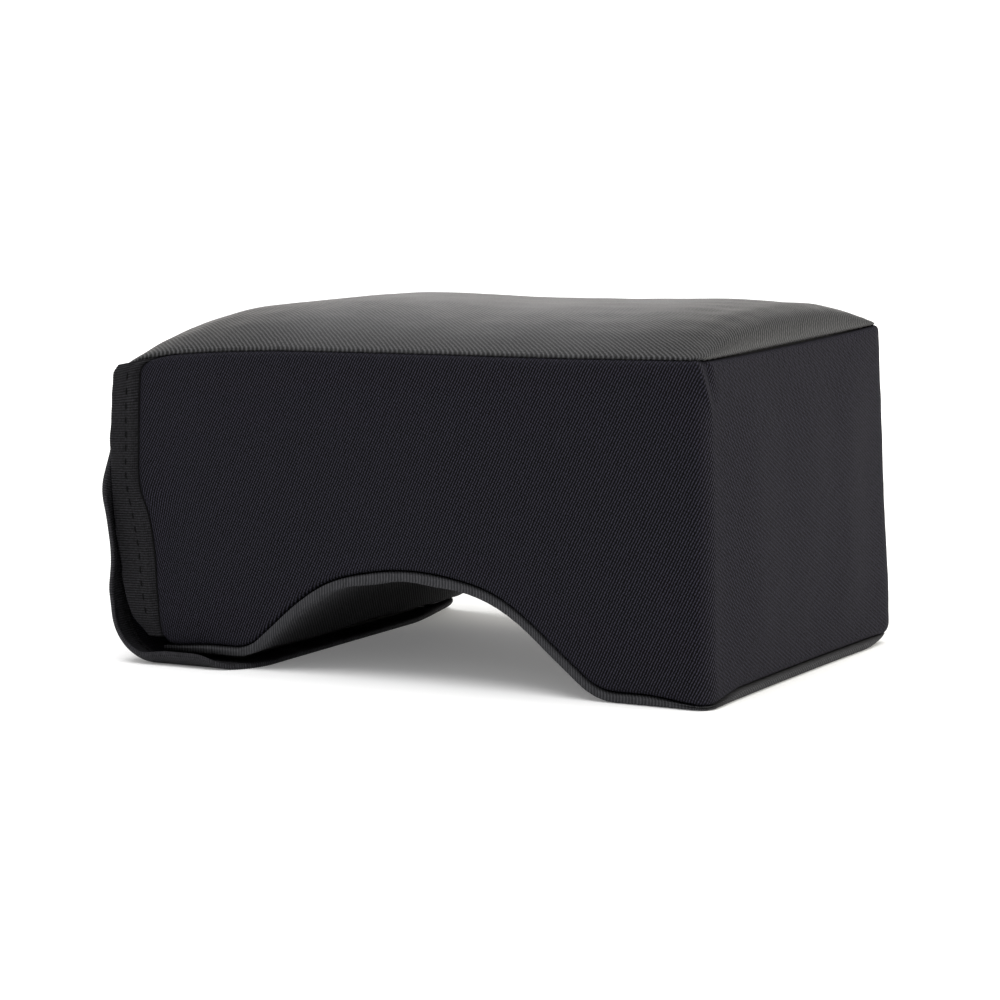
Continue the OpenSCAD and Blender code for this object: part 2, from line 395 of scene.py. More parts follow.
class Tree:
    """A small helper round one material's node tree."""

    def __init__(self, name):
        self.material = bpy.data.materials.new(name)
        self.material.use_nodes = True
        self.nodes = self.material.node_tree.nodes
        self.links = self.material.node_tree.links
        self.shader = self.nodes["Principled BSDF"]

    def put(self, socket, value):
        if isinstance(value, bpy.types.NodeSocket):
            self.links.new(value, socket)
        else:
            socket.default_value = value

    def node(self, kind, **values):
        """A new node, with the sockets named in values set or linked."""
        node = self.nodes.new("ShaderNode" + kind)
        for socket, value in values.items():
            self.put(node.inputs[socket], value)
        return node

    def axes(self, vector):
        return self.node("SeparateXYZ", Vector=vector).outputs

    def math(self, operation, *values):
        node = self.nodes.new("ShaderNodeMath")
        node.operation = operation
        for socket, value in zip(node.inputs, values):
            self.put(socket, value)
        return node.outputs[0]

    def add(self, a, b):
        return self.math("ADD", a, b)

    def times(self, a, b):
        return self.math("MULTIPLY", a, b)

    def attribute(self, name, output):
        node = self.nodes.new("ShaderNodeAttribute")
        node.attribute_name = name
        return node.outputs[output]

    def noise(self, vector, scale, detail=3.0, roughness=0.55):
        node = self.node("TexNoise", Vector=vector, Scale=scale, Detail=detail, Roughness=roughness)
        return node.outputs["Fac"]

    def mix(self, factor, a, b):
        node = self.nodes.new("ShaderNodeMix")
        node.data_type = "RGBA"
        self.put(node.inputs[0], factor)
        self.put(node.inputs[6], a)
        self.put(node.inputs[7], b)
        return node.outputs[2]

    def spread(self, value, low_out, high_out, low_in=0.0, high_in=1.0):
        node = self.nodes.new("ShaderNodeMapRange")
        self.put(node.inputs[0], value)
        for k, x in enumerate((low_in, high_in, low_out, high_out)):
            node.inputs[k + 1].default_value = x
        return node.outputs[0]

    def bump(self, height, distance, strength, normal=None):
        node = self.node("Bump", Strength=strength, Distance=distance, Height=height)
        if normal is not None:
            self.links.new(normal, node.inputs["Normal"])
        return node.outputs[0]

    def finish(self, color, roughness, normal, gloss, sheen, sheen_rough):
        """Links the first three into the shader and sets the last three, which are constants."""
        for socket, value in (("Base Color", color), ("Roughness", roughness), ("Normal", normal),
                              ("Specular IOR Level", gloss), ("Sheen Weight", sheen),
                              ("Sheen Roughness", sheen_rough)):
            self.put(self.shader.inputs[socket], value)
        return self.material


def rgb(color, gain=1.0):
    """The colour multiplied by gain, as a socket takes it."""
    return tuple(min(1.0, c * gain) for c in color) + (1.0,)


def woven(name, color, pitch, lean, contrast, twill, sheen=0.0, sheen_tint=(1, 1, 1), rough=0.85,
          gloss=0.1, blotch=0.1, worn_and_lit=2.2, wear_light_patches=(0.15, 0.5), keep=0.0):
    """Fine twill: diagonal lines at lean degrees, broken into floats, uneven dye, and paler patches where
    marked.

    The marks are rubbed seams and painted light: painted sheen on the top's crown and the lit rim of the
    bottom panel.
    The last three arguments give how much paler the patches are, their range, and how much weave still shows
    there.
    """
    t = Tree(name)
    cloth = t.attribute("cloth", "Vector")
    along, across = t.axes(cloth)[:2]
    angle, k = math.radians(lean), math.tau / pitch

    def phase(a, b):
        return t.add(t.times(along, a), t.times(across, b))

    wobble = t.add(t.times(t.noise(cloth, 140, 2), 2.5), t.times(t.noise(cloth, 640, 2), 3.0))
    diagonal = t.math("SINE", t.add(phase(k * math.sin(angle), -k * math.cos(angle)), wobble))
    k = 0.83 * k
    floats = t.math("SINE", t.add(phase(k * math.cos(angle), k * math.sin(angle)), wobble))
    height = t.add(t.times(diagonal, twill), t.times(t.times(diagonal, floats), 1 - twill))
    fibres = t.noise(cloth, 1500, 3)
    grain = t.add(height, t.times(t.math("SUBTRACT", fibres, 0.25), 0.9))
    tone = t.spread(grain, 0, 1, 0.15, 0.8)
    weave = t.mix(tone, rgb(color, 1 - contrast), rgb(color, 1 + 4.6 * contrast))
    patches = t.spread(t.noise(cloth, 9, 4), 0, 1, 0.3, 0.7)
    dyed = t.mix(t.times(patches, blotch), weave, rgb(color, 1.9))
    # paler where marked: rubbed seams, painted sheen on the top's crown and painted light on the bottom
    # panel's rim
    wear_light_amount = t.times(t.attribute("wear_and_light", "Fac"), t.spread(t.noise(cloth, 300, 3), *wear_light_patches))
    worn_lit_tone = t.mix(tone, rgb(color, worn_and_lit * (1 - keep)), rgb(color, worn_and_lit * (1 + keep)))
    t.shader.inputs["Sheen Tint"].default_value = rgb(sheen_tint)
    soft = t.bump(t.noise(cloth, 110, 3), 0.5 * MM, 0.25)
    return t.finish(t.mix(wear_light_amount, dyed, worn_lit_tone), t.spread(fibres, rough - 0.08, rough + 0.08),
                    t.bump(grain, 0.12 * MM, 0.6, soft), gloss, sheen, 0.45)


def ribbed(name, color):
    """Grosgrain: ribs across the tape, crossed by fine warp threads that run along it."""
    t = Tree(name)
    cloth = t.attribute("cloth", "Vector")
    along, across = t.axes(cloth)[:2]
    rib = t.math("SINE", t.times(along, math.tau / RIB_PITCH))
    warp = t.math("SINE", t.times(across, math.tau / (0.45 * MM)))
    fibres = t.noise(cloth, 1100, 3, 0.75)
    height = t.add(t.add(t.times(rib, 0.38), t.times(warp, 0.15)), t.times(fibres, 2.4))
    tone = t.spread(height, 0, 1, 0.9, 1.75)
    patches = t.spread(t.noise(cloth, 70, 3), 0, 0.35, 0.3, 0.7)
    weave = t.mix(tone, rgb(color, 0.05), rgb(color, 4.4))
    # paler along the tapes' folds where marked; on the flap's tape this is painted light on the lip that
    # faces up
    worn_and_lit = t.mix(tone, rgb(color, 0.7), rgb(color, 7.0))
    wear_light_amount = t.times(t.attribute("wear_and_light", "Fac"), 0.8)
    dyed = t.mix(patches, weave, rgb(color, 1.6))
    return t.finish(t.mix(wear_light_amount, dyed, worn_and_lit), t.spread(fibres, 0.62, 0.82), t.bump(height, 0.2 * MM, 0.9),
                    0.15, 0.0, 0.5)


def fuzzy(name, color, grain, depth, rough=0.95, sheen=0.6):
    """Pile, hook tape, thread or foam: a close random grain of the given size."""
    t = Tree(name)
    cloth = t.attribute("cloth", "Vector")
    coarse = t.noise(cloth, 1 / grain, 4, 0.7)
    fine = t.noise(cloth, 4 / grain, 2)
    height = t.add(coarse, t.times(fine, 0.5))
    tone = t.spread(height, 0, 1, 0.45, 1.05)
    return t.finish(t.mix(tone, rgb(color, 0.45), rgb(color, 1.5)), t.spread(fine, rough - 0.12, rough),
                    t.bump(height, depth, 0.8), 0.1, sheen, 0.6)


# the top's large paler patch is painted sheen on its crown; only the thin band along its seams is rubbing
TOP_CLOTH = woven("top_cloth", (0.0115, 0.0115, 0.0120), 1.35 * MM, 139, contrast=1.0, twill=0.7, sheen=0.03,
                  sheen_tint=(1.0, 0.95, 0.90), rough=0.5, gloss=0.14, blotch=0.12, worn_and_lit=12.8,
                  wear_light_patches=(0.3, 0.65))
SIDE_CLOTH = woven("side_cloth", (0.0055, 0.0052, 0.0076), 1.1 * MM, 62, contrast=1.0, twill=0.6, blotch=0.06)
# painted shade and light: the bottom cloth is made very dark for the shade deep in the arch, and much paler
# near its rim for the light that falls there
UNDER_CLOTH = woven("bottom_cloth", (0.0035, 0.0035, 0.0038), 1.1 * MM, 128, contrast=0.9, twill=0.8,
                    gloss=0.06, worn_and_lit=16.0, wear_light_patches=(0.5, 1.0), keep=0.35)
FLAP_CLOTH = woven("flap_cloth", (0.0060, 0.0056, 0.0082), 1.15 * MM, 62, contrast=0.95, twill=0.6,
                   gloss=0.12)
TAPE = ribbed("tape", (0.0064, 0.0062, 0.0072))
THREAD = fuzzy("thread", (0.0022, 0.0022, 0.0024), 0.5 * MM, 0.05 * MM, rough=0.8, sheen=0.0)
LINER = fuzzy("liner_knit", (0.009, 0.009, 0.010), 0.9 * MM, 0.15 * MM, sheen=0.0)
FOAM = fuzzy("foam", (0.55, 0.52, 0.45), 1.4 * MM, 0.4 * MM)
HOOK = fuzzy("hook_tape", (0.010, 0.010, 0.010), 0.8 * MM, 0.1 * MM, rough=0.6, sheen=0.05)
LOOP = fuzzy("loop_pile", (0.014, 0.014, 0.015), 1.2 * MM, 0.1 * MM, sheen=0.1)


def dress(piece, material):
    """Gives a piece its material."""
    piece.data.materials.append(material)


# -------- the camera

FOCAL_MM, SENSOR_MM = 97.2, 36.0
EYE = Vector((0.5788, -0.9729, 0.2039))
YAW, PITCH, ROLL = math.radians(-30.69), math.radians(7.04), math.radians(-1.3)


def make_camera():
    """The camera at the photograph's point of view."""
    data = bpy.data.cameras.new("camera")
    data.lens, data.sensor_width = FOCAL_MM, SENSOR_MM
    data.clip_start, data.clip_end = 0.05, 60
    camera = bpy.data.objects.new("camera", data)
    bpy.context.scene.collection.objects.link(camera)
    ahead = Vector((math.sin(YAW) * math.cos(PITCH), math.cos(YAW) * math.cos(PITCH), -math.sin(PITCH)))
    level = Vector((math.cos(YAW), -math.sin(YAW), 0))
    upright = level.cross(ahead)
    right = level * math.cos(ROLL) + upright * math.sin(ROLL)
    up = upright * math.cos(ROLL) - level * math.sin(ROLL)
    placed = Matrix((right, up, -ahead)).transposed().to_4x4()
    placed.translation = EYE
    camera.matrix_world = placed
    bpy.context.scene.camera = camera


# -------- the cover's panels


def draw_in(d):
    """How far cloth at distance d from a seam is drawn inward towards it."""
    return GROOVE * fade(np.maximum(d, 0), 0.85 * MM)


def ease(x, y):
    """Less pull in the bottom seam at the back right corner, where the cloth is bunched."""
    return 1 - 0.8 * hump(np.hypot(x - X_RIGHT, y - Y_FACE), 0, 12 * MM)


def make_top():
    """The crowned top panel, which also rolls over the left end as far as the flap's hinge line."""
    s = spaced([0, 0.12, 0.93, 0.985, 1], [0.0045, 0.0052, 0.004, 0.0016])
    v = spaced([-1, -0.975, -0.9, 0.9, 0.975, 1], [0.004, 0.01, 0.022, 0.01, 0.004])
    p = top_surface(s, v)
    x, y = p[..., 0], p[..., 1]
    d_side = Y_FACE - np.abs(y)
    d_right = X_RIGHT - x
    d = np.minimum(d_side, d_right)
    # soft dents and the pull of the stitches
    p[..., 2] += 0.45 * MM * ripple(x, y, 70 * MM, 3) * smooth(d / (30 * MM))
    p[..., 2] += 0.10 * MM * ripple(x, y, 16 * MM, 5) * smooth(d / (8 * MM))
    gather = np.where(d_side < d_right, pucker(x, 11), pucker(y, 17))
    p[..., 2] += 0.16 * MM * gather * fade(d, 5 * MM)
    # a rolled lip beside the seam
    p[..., 2] += 0.9 * MM * (1 - fade(d, 1.1 * MM)) - 0.3 * MM
    on_seam = step(x, X_LEFT + 6 * MM, X_LEFT + 16 * MM)
    ix, iy = inward(x, y)
    px, py = plan(x, y)
    pull = draw_in(d) * (0.2 + 0.8 * on_seam)
    p[..., 0], p[..., 1] = px + ix * pull, py + iy * pull
    p = settle(p)
    # painted sheen: the level crown of the top is made much paler, standing in for the back light's sheen
    # there; the thin paler band along the seams is rubbing
    crown = (step(d_side, -12 * MM, 42 * MM) * step(x, X_LEFT + 30 * MM, X_LEFT + 100 * MM)
             * step(d_right, 6 * MM, 70 * MM) * (1 - 0.5 * step(y, 0.0, 70 * MM)))
    wear_and_light = 0.18 * fade(d, 3 * MM) + crown * (0.85 + 0.15 * ripple(x, y, 45 * MM, 7))
    u = np.broadcast_to((s * LENGTH)[:, None], x.shape)
    piece = cloth_solid("cover_top", p, p - CLOTH_T * normals(p), u, y, wear_and_light)
    dress(piece, TOP_CLOTH)
    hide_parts("top_panel")
    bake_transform(piece)


def band_path():
    """Plan positions round the side band, from the mouth along the front, the right end and the back."""
    front = spaced([MOUTH_X, MOUTH_X + 8 * MM, X_RIGHT - 12 * MM, X_RIGHT], [0.7 * MM, 1.25 * MM, 0.6 * MM])
    right = spaced([-Y_FACE, -Y_FACE + 12 * MM, Y_FACE - 10 * MM, Y_FACE], [0.6 * MM, 1.25 * MM, 0.8 * MM])
    x = np.concatenate([front, np.full(len(right) - 1, X_RIGHT), front[::-1][1:]])
    y = np.concatenate([np.full(len(front), -Y_FACE), right[1:], np.full(len(front) - 1, Y_FACE)])
    return x, y


def rim_share(x, y):
    """How much of its full rise the bottom panel's rim has: less at the near right corner and the mouth."""
    corner = smooth(np.hypot(x - X_RIGHT, y + Y_FACE) / (30 * MM))
    mouth = step(x, MOUTH_X + 4 * MM, MOUTH_X + 34 * MM)
    return (0.3 + 0.7 * corner) * (0.6 + 0.4 * mouth)


def bottom_seam(x, y):
    """Height of the seam between the side band and the bottom panel."""
    z = underside(x) + (underside(x, WRAP) - underside(x)) * rim_share(x, y)
    corner = np.clip((MOUTH_X + 9 * MM - x) / (9 * MM), 0, 1)
    return z + 3.5 * MM * corner ** 2


def outward(x, y):
    """The outward direction in plan at each point round the band."""
    px, py = plan(x, y)
    dx, dy = np.gradient(px), np.gradient(py)
    length = np.maximum(np.hypot(dx, dy), 1e-12)
    return dy / length, -dx / length


def make_band():
    """The one-piece side band: front, right end and back, with soft upright edges."""
    x, y = band_path()
    low, high = bottom_seam(x, y), top_edge_height(x)
    # the top seam is tied down a little between the corners of the right end
    on_right = np.abs(x - X_RIGHT) < 1e-6
    high = high - np.where(on_right, 1.3 * MM * (1 - (y / Y_FACE) ** 2) ** 0.5, 0)
    rows = spaced([0, 0.03, 0.09, 0.8, 0.96, 1], [0.004, 0.011, 0.02, 0.009, 0.004])
    z = low[:, None] + (high - low)[:, None] * rows[None, :]
    nx, ny = outward(x, y)
    px, py = plan(x, y)
    along = np.concatenate([[0], np.cumsum(np.hypot(np.diff(px), np.diff(py)))])
    xs, ys, run, d_mouth = (np.broadcast_to(c[:, None], z.shape) for c in (x, y, along, x - MOUTH_X))
    d_top, d_low = high[:, None] - z, z - low[:, None]
    d = np.minimum(d_top, d_low)
    full = np.where(on_right[:, None], smooth((Y_FACE - np.abs(ys)) / (45 * MM)),
                    smooth((X_RIGHT - xs) / (55 * MM)) * smooth(d_mouth / (40 * MM)))
    bulge = np.where(on_right[:, None], 2.6, 1.8) * MM * (smooth(d / (38 * MM)) * full)
    bulge = bulge + 0.35 * MM * ripple(run, z, 60 * MM, 23) * smooth(d / (22 * MM))
    bulge = bulge + 0.07 * MM * ripple(run, z, 13 * MM, 29) * smooth(d / (6 * MM))
    folds = 0.55 * MM * ripple(ys, 0.25 * z, 52 * MM, 37) * smooth((Y_FACE - np.abs(ys)) / (16 * MM))
    bulge = bulge + np.where(on_right[:, None], folds * smooth(d / (20 * MM)), 0)
    gathered = fade(d_top, 7 * MM) + 0.8 * fade(d_low, 5 * MM)
    bulge = bulge + 0.17 * MM * pucker(run, 31) * gathered
    bulge = bulge - draw_in(d_top) - draw_in(d_low) * ease(xs, ys) - 2.0 * MM * fade(d_mouth, 1.0 * MM)
    z = z - 0.35 * MM * fade(d_top, 1 * MM) + 0.3 * MM * fade(d_low, 1 * MM)
    # a short crease that runs down from the top of the front right edge, with a hollow beside it
    edge = np.hypot(x - X_RIGHT, y + Y_FACE)[:, None]
    past = run - along[np.argmin(edge)]
    ridge = -2.2 * MM + 0.30 * d_top
    crease = 1.5 * MM * hump(past, ridge, 1.4 * MM)
    hollow = 1.4 * MM * hump(past, ridge + 4.0 * MM, 2.4 * MM)
    bulge = bulge + crease * step(d_top, 26 * MM, 5 * MM) - hollow * step(d_top, 20 * MM, 4 * MM)
    shift = (mouth_seam_x(z) - MOUTH_X) * fade(d_mouth, 22 * MM)
    shift = shift + seam_corner(d_top) * fade(d_mouth, 7 * MM)
    p = np.stack([px[:, None] + nx[:, None] * bulge + shift, py[:, None] + ny[:, None] * bulge, z], -1)
    p = settle(p)
    inner = p.copy()
    inner[..., 0] -= nx[:, None] * CLOTH_T
    inner[..., 1] -= ny[:, None] * CLOTH_T
    wear_and_light = 0.5 * fade(d, 2.5 * MM) + 0.35 * hump(edge, 0, 4 * MM)
    piece = cloth_solid("cover_side_band", p, inner, run, z, wear_and_light)
    dress(piece, SIDE_CLOTH)
    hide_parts("side_band")
    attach(piece, "cushion")


def make_underside():
    """The bottom panel: it lines the arch and turns up round the edges to its seam."""
    edge = 2.2 * MM
    x = spaced([sill_lo.x + 1.5 * MM, X_RIGHT - 8 * MM, X_RIGHT - edge, X_RIGHT],
               [1.5 * MM, 1.2 * MM, 0.4 * MM])
    half = spaced([0, Y_FACE - 12 * MM, Y_FACE - edge, Y_FACE], [3.0 * MM, 1.2 * MM, 0.4 * MM])
    y = np.concatenate([-half[::-1], half[1:]])
    xs, ys = np.meshgrid(x, y, indexing="ij")
    base = underside(xs)
    d = np.minimum(Y_FACE - np.abs(ys), X_RIGHT - xs)
    curl = np.maximum(edge - d, 0) / edge
    z = base + edge * rim_share(xs, ys) * (1 - np.sqrt(np.maximum(1 - curl ** 2, 0)))
    z = z + 0.10 * MM * pucker(xs, 41) * fade(d, 6 * MM)
    # dents in the arch, and the loose roll of cloth just inside its rim
    dents = 0.5 * MM * ripple(xs, ys, 55 * MM, 43) * smooth(d / (20 * MM))
    roll = (0.7 + 0.9 * ripple(xs, 0 * ys, 19 * MM, 49)) * MM * hump(d, 5 * MM, 3 * MM)
    z = np.where(base < 1 * MM, z, z + dents - roll * step(base, 9 * MM, 26 * MM))
    px, py = plan(xs, ys)
    p = np.stack([px, py, np.maximum(z, 0.05 * MM)], -1)

    def rim(row, seam, out):
        """The upright part of the rim above row, then its top drawn into the seam."""
        upright, drawn = row.copy(), row.copy()
        upright[..., 2] = np.maximum(seam - 0.9 * MM, row[..., 2] + 0.1 * MM)
        drawn[..., 2] = np.maximum(seam - 0.2 * MM, row[..., 2] + 0.2 * MM)
        pull = ease(row[..., 0], row[..., 1])[..., None] * np.array(out)
        return upright + pull * 0.25 * MM, drawn - pull * GROOVE

    front = rim(p[:, :1], bottom_seam(x, np.full_like(x, -Y_FACE))[:, None], (0, -1, 0))
    back = rim(p[:, -1:], bottom_seam(x, np.full_like(x, Y_FACE))[:, None], (0, 1, 0))
    p = np.concatenate([front[1], front[0], p, back[0], back[1]], 1)
    right = rim(p[-1:], bottom_seam(np.full(p.shape[1], X_RIGHT), p[-1, :, 1])[None, :], (1, 0, 0))
    p = np.concatenate([p, right[0], right[1]], 0)
    p = settle(p)
    p[..., 2] = np.maximum(p[..., 2], 0.02 * MM)
    inner = p.copy()
    inner[:-2, 2:-2, 2] += CLOTH_T
    inner[:, :2, 1] += CLOTH_T
    inner[:, -2:, 1] -= CLOTH_T
    inner[-2:, :, 0] -= CLOTH_T
    run = np.concatenate([[0], np.cumsum(np.linalg.norm(np.diff(p[:, p.shape[1] // 2], axis=0), axis=1))])
    u = np.broadcast_to(run[:, None], p.shape[:2])
    # painted light near the rim of the arch, fading to painted shade within reach of it; the reach is longer
    # on the left leg's wall
    edge_d = np.minimum(Y_FACE - np.abs(p[..., 1]), X_RIGHT - p[..., 0])
    reach = (7 + 9 * step(p[..., 0], ARCH_X - 15 * MM, ARCH_X - 40 * MM)) * MM
    reach = reach * (1 + 0.45 * ripple(p[..., 0], 0 * p[..., 0], 24 * MM, 47))
    wear_and_light = fade(np.maximum(edge_d - 2 * MM, 0), reach)
    wear_and_light = wear_and_light * step(p[..., 0], MOUTH_X, MOUTH_X + 40 * MM)
    piece = cloth_solid("cover_underside", p, inner, u, p[..., 1], wear_and_light)
    dress(piece, UNDER_CLOTH)
    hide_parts("arch_panel")
    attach(piece, "cushion")


# -------- tapes and stitches


def tape_ring(width, half_t, core):
    """Section of a tape folded over an edge: distances in from the fold, and across the thickness."""
    flat = np.linspace(width, half_t * 1.6, 13)
    face = np.full_like(flat, half_t)
    turn = np.radians(np.arange(90, -91, -22.5))
    a = np.concatenate([flat, half_t - half_t * np.cos(turn), flat[::-1], [width, width]])
    n = np.concatenate([face, half_t * np.sin(turn), -face, [-core, core]])
    return a, n


def sweep(name, rows, uv_along, uv_across, wear_and_light):
    """A closed piece from rows of ring points, with capped ends."""
    n, k = rows.shape[:2]
    cloth = np.stack([np.broadcast_to(uv_along[:, None], (n, k)), np.broadcast_to(uv_across[None, :], (n, k)),
                      np.zeros((n, k))], -1)
    return build(name, rows.reshape(-1, 3), closed_rings(n, k), cloth, np.broadcast_to(wear_and_light[None, :], (n, k)))


def ribs(along):
    """The height of the grosgrain's ribs, with slightly uneven spacing."""
    drift = 0.3 * ripple(along, 0 * along, 25 * MM, 61)
    return np.cos(math.tau * (along / RIB_PITCH + drift))


def stitch(start, end, out, lift=0.35 * MM, radius=0.28 * MM):
    """One stitch of thread from start to end that arches out of the cloth and dives in at both ends."""
    t = np.linspace(0, 1, 7)
    arch = np.array([-1.6, 0.1, 0.8, 1.0, 0.8, 0.1, -1.6]) * lift
    path = start[None] + (end - start)[None] * t[:, None] + out[None] * arch[:, None]
    return tube(path, radius, 6)


MOUTH_TAPE_OUT = 0.55 * MM  # how far the tape's middle stands off the face
MOUTH_ROW = 0.62  # where its stitches run, from 0 at the fold to 1 at the seam


def mouth_tape_point(z, a, n, side):
    """A point of the mouth's tape: a from 0 at the fold to 1 at the seam, n outward from its middle."""
    top = float(top_edge_height(MOUTH_X))
    rise = 3.0 * MM * step(z, 98 * MM, 124 * MM)
    inner = mouth_seam_x(z) + seam_corner(top - z - rise)
    outer = X_LEFT + wavy(TAPE_EDGE, z) + 0.3 * MM * ripple(z, 0 * z, 13 * MM, 75 + side)
    x = outer + (inner - outer) * a
    # its free edge curls away from the face, and the stitches pull it in
    curl = 1.3 * MM * (1 - a) ** 2 * step(z, 112 * MM, 92 * MM) * step(z, 14 * MM, 34 * MM)
    pull = -0.45 * MM * hump(a, MOUTH_ROW, 0.07)
    wave = 0.3 * MM * ripple(z, x, 26 * MM, 71 + side) - 3.2 * MM * step(a, 0.87, 1.04)
    y = Y_FACE + MOUTH_TAPE_OUT + curl + n + np.where(n > 0, pull, 0) + wave
    y = y - 0.9 * MM * step(z, 20 * MM, 13 * MM) - 1.5 * MM * step(z, 121.5 * MM, 126 * MM)
    return np.stack(np.broadcast_arrays(x, side * y, z + rise * a), -1)


def make_mouth_tape(side, where):
    """The tape folded over one edge of the mouth, and its row of stitches."""
    z = np.arange(11 * MM, 125.4 * MM, RIB_PITCH / 4)
    half_t = 0.95 * MM
    a, n = tape_ring(1.25 * TAPE_W, half_t, 0.5 * MM)
    a = a / TAPE_W
    rib = 0.12 * MM * ribs(z)[:, None]
    grid = settle(mouth_tape_point(z[:, None], a[None, :], n[None, :] + np.sign(n)[None, :] * rib, side))
    piece = sweep("mouth_tape_" + where, grid, z, a * TAPE_W, 0.7 * hump(a, 0, 0.1))
    dress(piece, TAPE)
    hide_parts(where + "_binding")
    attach(piece, "cushion")
    row = []
    for k in range(MOUTH_STITCHES):
        low = FIRST_STITCH + k * MOUTH_PITCH
        ends = [settle(mouth_tape_point(h, MOUTH_ROW, half_t, side)[None])[0] for h in (low, low + 3.5 * MM)]
        row.append(stitch(*ends, np.array([0, side, 0.0]), radius=0.33 * MM))
    thread = build_tubes("mouth_stitches_" + where, row)
    dress(thread, THREAD)
    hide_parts(where + "_stitches")
    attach(thread, "cushion")


def make_mouth_seam_shade_line(side, where):
    """A dark cord laid in the bottom of the seam beside the mouth's tape: painted shade for the seam's dark
    line.
    """
    top = top_edge_height(MOUTH_X)
    z = np.arange(13.5 * MM, top - 0.6 * MM, 0.6 * MM)
    x = mouth_seam_x(z) + seam_corner(top - z) + 0.35 * MM
    y = np.full_like(z, side * (Y_FACE - 1.05 * MM))
    thread = build_tubes("mouth_seam_" + where, [tube(settle(np.stack([x, y, z], -1)), 0.42 * MM)])
    dress(thread, THREAD)
    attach(thread, "cushion")


def make_sill_tape():
    """The tape folded over the bottom edge of the mouth."""
    y = np.arange(-Y_FACE + 2 * MM, Y_FACE - 2 * MM, RIB_PITCH / 3)
    a, n = tape_ring(sill_hi.x - sill_lo.x, 0.5 * MM, 0.3 * MM)
    rib = 0.05 * MM * ribs(y)[:, None]
    x = np.broadcast_to(sill_lo.x + a[None, :], (len(y), len(a)))
    z = LEG_LIFT - 0.52 * MM + n[None, :] + np.sign(n)[None, :] * rib
    z = z + 0.9 * MM * hump(a, 0, 2 * MM)[None, :] + 0 * x
    grid = np.stack([x, np.broadcast_to(y[:, None], x.shape), z], -1)
    piece = sweep("mouth_sill_tape", grid, y, a, 0.5 * hump(a, 0, 1 * MM))
    dress(piece, TAPE)
    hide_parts("sill_binding")
    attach(piece, "cushion")


# -------- the flap and its tongue

TURN_R = FOLD.x - FLAP_OUT
MID = BOUND_T / 2
FALL = HINGE.z - TURN_R
TURN = (TURN_R - MID) * math.pi / 2
FLAP_L = FALL + TURN + tongue_hi.x - FOLD.x
TONGUE_R = 22 * MM  # rounding of the tongue's corners
FLARE = 54 * MM  # the flap reaches its full width this far below the hinge
TAPE_FOLDED = 13 * MM  # width of the flap's tape once folded
ROW_IN = 10.2 * MM  # how far in from its fold the stitches run


def flap_half_width(s):
    """Half the flap's width with its tape, s down from the hinge line."""
    top = Y_FACE - 3.4 * MM
    flare = top + (FLAP_Y - top) * step(s, 17 * MM, FLARE)
    t = np.clip((s - (FLAP_L - TONGUE_R)) / TONGUE_R, 0, 1)
    return flare - TONGUE_R * (1 - np.sqrt(np.maximum(1 - t * t, 0)))


def flap_point(s, w, n):
    """The flap as it hangs and turns under the leg: s down from the hinge line, w across it,
    n from its middle towards the block."""
    s, w, n = np.broadcast_arrays(s, w, n)
    r = TURN_R - MID
    angle = np.clip((s - FALL) / r, 0, math.pi / 2)
    x = np.where(s < FALL + TURN, FOLD.x - r * np.cos(angle), FOLD.x + s - FALL - TURN)
    z = np.where(s < FALL, HINGE.z - s, TURN_R - r * np.sin(angle))
    # the edge past the block's faces is free to curl
    free = np.clip((np.abs(w) - 84.5 * MM) / (6 * MM), 0, 1.1)
    hang, lie = step(s, FALL + 4 * MM, FALL - 12 * MM), step(s, FALL + TURN - 8 * MM, FALL + TURN + 10 * MM)
    turning = 1 - hang - lie
    off = 1.1 * MM * (1 - step(s, 0, 7 * MM))
    off = off - 1.2 * MM * step(s, 14 * MM, 28 * MM) * step(s, 74 * MM, 58 * MM)
    off = off + 3.4 * MM * free * step(s, 40 * MM, 62 * MM) * (1 - 0.55 * step(s, 76 * MM, 92 * MM)) * hang
    off = off + hang * 0.5 * MM * ripple(s, w, 45 * MM, 81) * step(s, 10 * MM, 30 * MM)
    off = off + (3.0 * turning + 4.6 * lie * step(s, FLAP_L, FLAP_L - 26 * MM)) * MM * free ** 2
    off = off + (0.25 * MM * (1 + ripple(s, w, 30 * MM, 83))) * lie * free
    off = off + 3.8 * MM * step(w, 40 * MM, 84 * MM) * step(s, FLAP_L - 14 * MM, FLAP_L - 2 * MM)
    n = n + off
    return np.stack([x + n * np.cos(angle), w, z + n * np.sin(angle)], -1)


def make_flap():
    """The flap and its tongue, one cloth panel with its tape and seams."""
    s = spaced([0, FALL, FALL + TURN, FLAP_L - TONGUE_R, FLAP_L - 1.2 * MM],
               [2.0 * MM, 1.2 * MM, 2.0 * MM, 1.0 * MM])
    v = spaced([-1, -0.84, 0.84, 1], [0.012, 0.02, 0.012])
    w = v[None, :] * (flap_half_width(s) - 1.0 * MM)[:, None]
    outer, inner = (flap_point(s[:, None], w, n) for n in (-0.7 * MM, 0.7 * MM))
    u = np.broadcast_to(s[:, None], w.shape)
    piece = cloth_solid("flap_cloth", outer, inner, u, w)
    dress(piece, FLAP_CLOTH)
    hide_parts("flap_panel", "tongue_panel")
    bend_at_turn(piece)
    tape = make_flap_tape()
    seam = make_hinge_seam()


